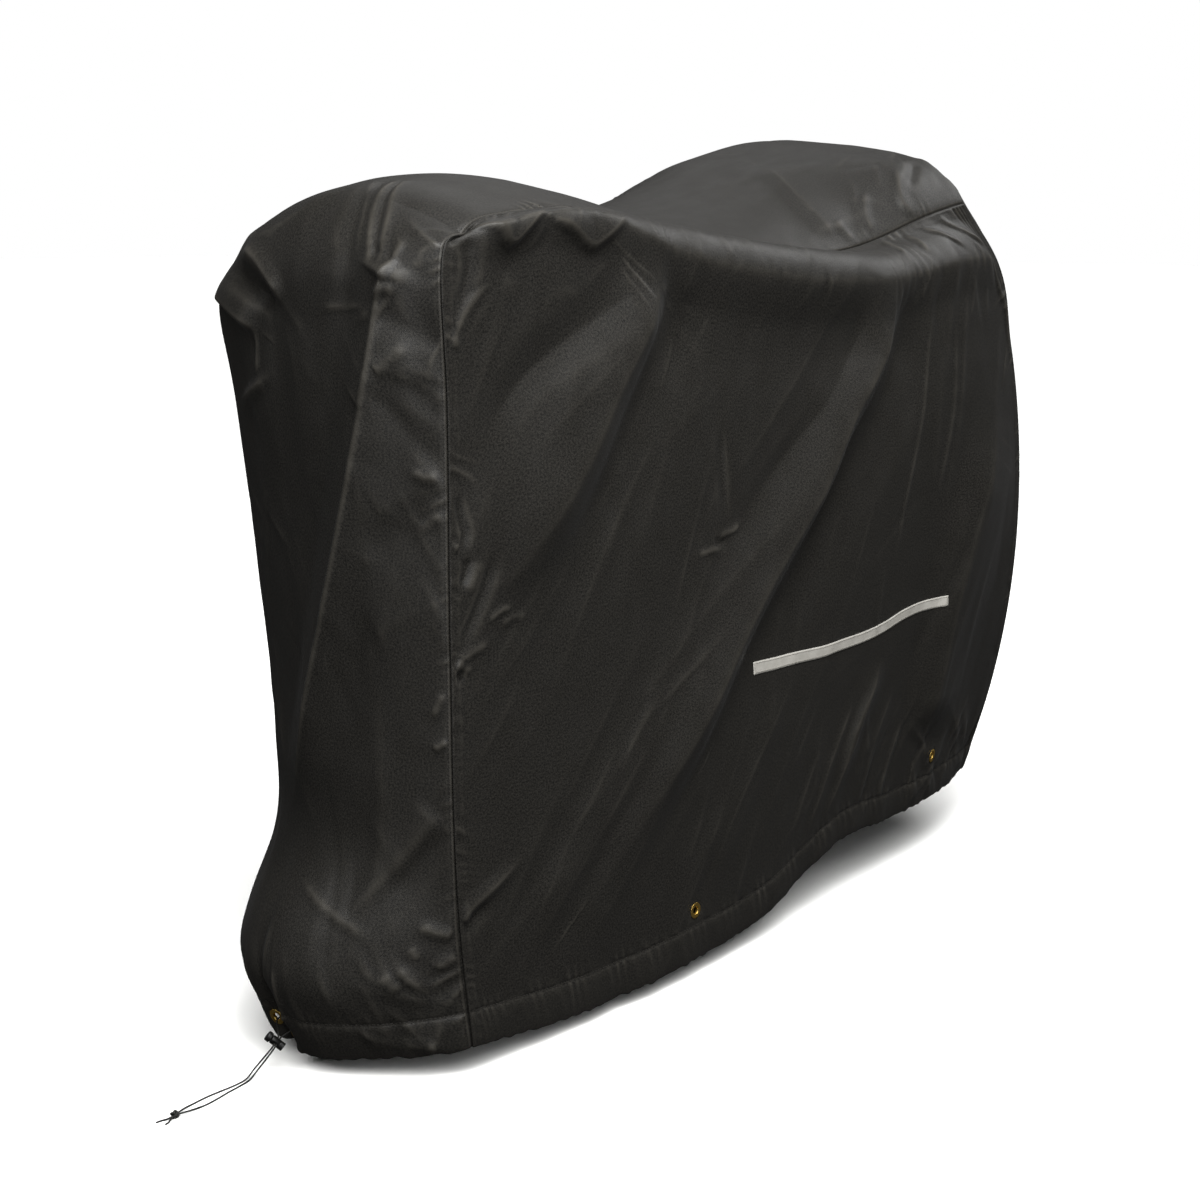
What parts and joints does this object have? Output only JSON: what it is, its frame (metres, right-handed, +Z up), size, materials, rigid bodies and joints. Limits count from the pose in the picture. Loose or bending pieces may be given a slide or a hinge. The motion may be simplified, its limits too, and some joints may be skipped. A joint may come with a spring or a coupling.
{
  "type": "scooter cover",
  "caption": "Fitted storage cover for a mobility scooter, draped hollow form with side panels, a centre panel, reflective tape, hem eyelets, drawcord and cord lock",
  "frame": {"origin": "under the cloth at the crest of the seat hump, where the covered scooter holds the cover up", "axes": "+X from the front to the back of the cover, +Y to the left as seen from its back, +Z up"},
  "size_m": [1.6846, 0.573, 1.0795],
  "materials": {
    "cover_cloth": "coated woven nylon, near-black with a soft satin sheen",
    "reflective_tape": "grey-white woven reflective tape, sewn on",
    "eyelet_brass": "rolled and lightly polished brass",
    "lock_plastic": "moulded black plastic",
    "drawcord": "braided round cord, dark grey"
  },
  "bodies": {
    "root": {"near_side_panel": "cover_cloth", "far_side_panel": "cover_cloth", "centre_panel": "cover_cloth", "near_hem_band": "cover_cloth", "far_hem_band": "cover_cloth", "near_reflective_tape": "reflective_tape", "far_reflective_tape": "reflective_tape", "near_side_eyelet": "eyelet_brass", "near_rear_eyelet": "eyelet_brass", "far_side_eyelet": "eyelet_brass", "far_rear_eyelet": "eyelet_brass", "cord_eyelet_near": "eyelet_brass", "cord_eyelet_far": "eyelet_brass", "cord_lock_body": "lock_plastic", "cord_lock_button": "lock_plastic", "drawcord_near": "drawcord", "drawcord_far": "drawcord", "drawcord_tail_near": "drawcord", "drawcord_tail_far": "drawcord", "drawcord_knot": "drawcord"}
  },
  "joints": []
}
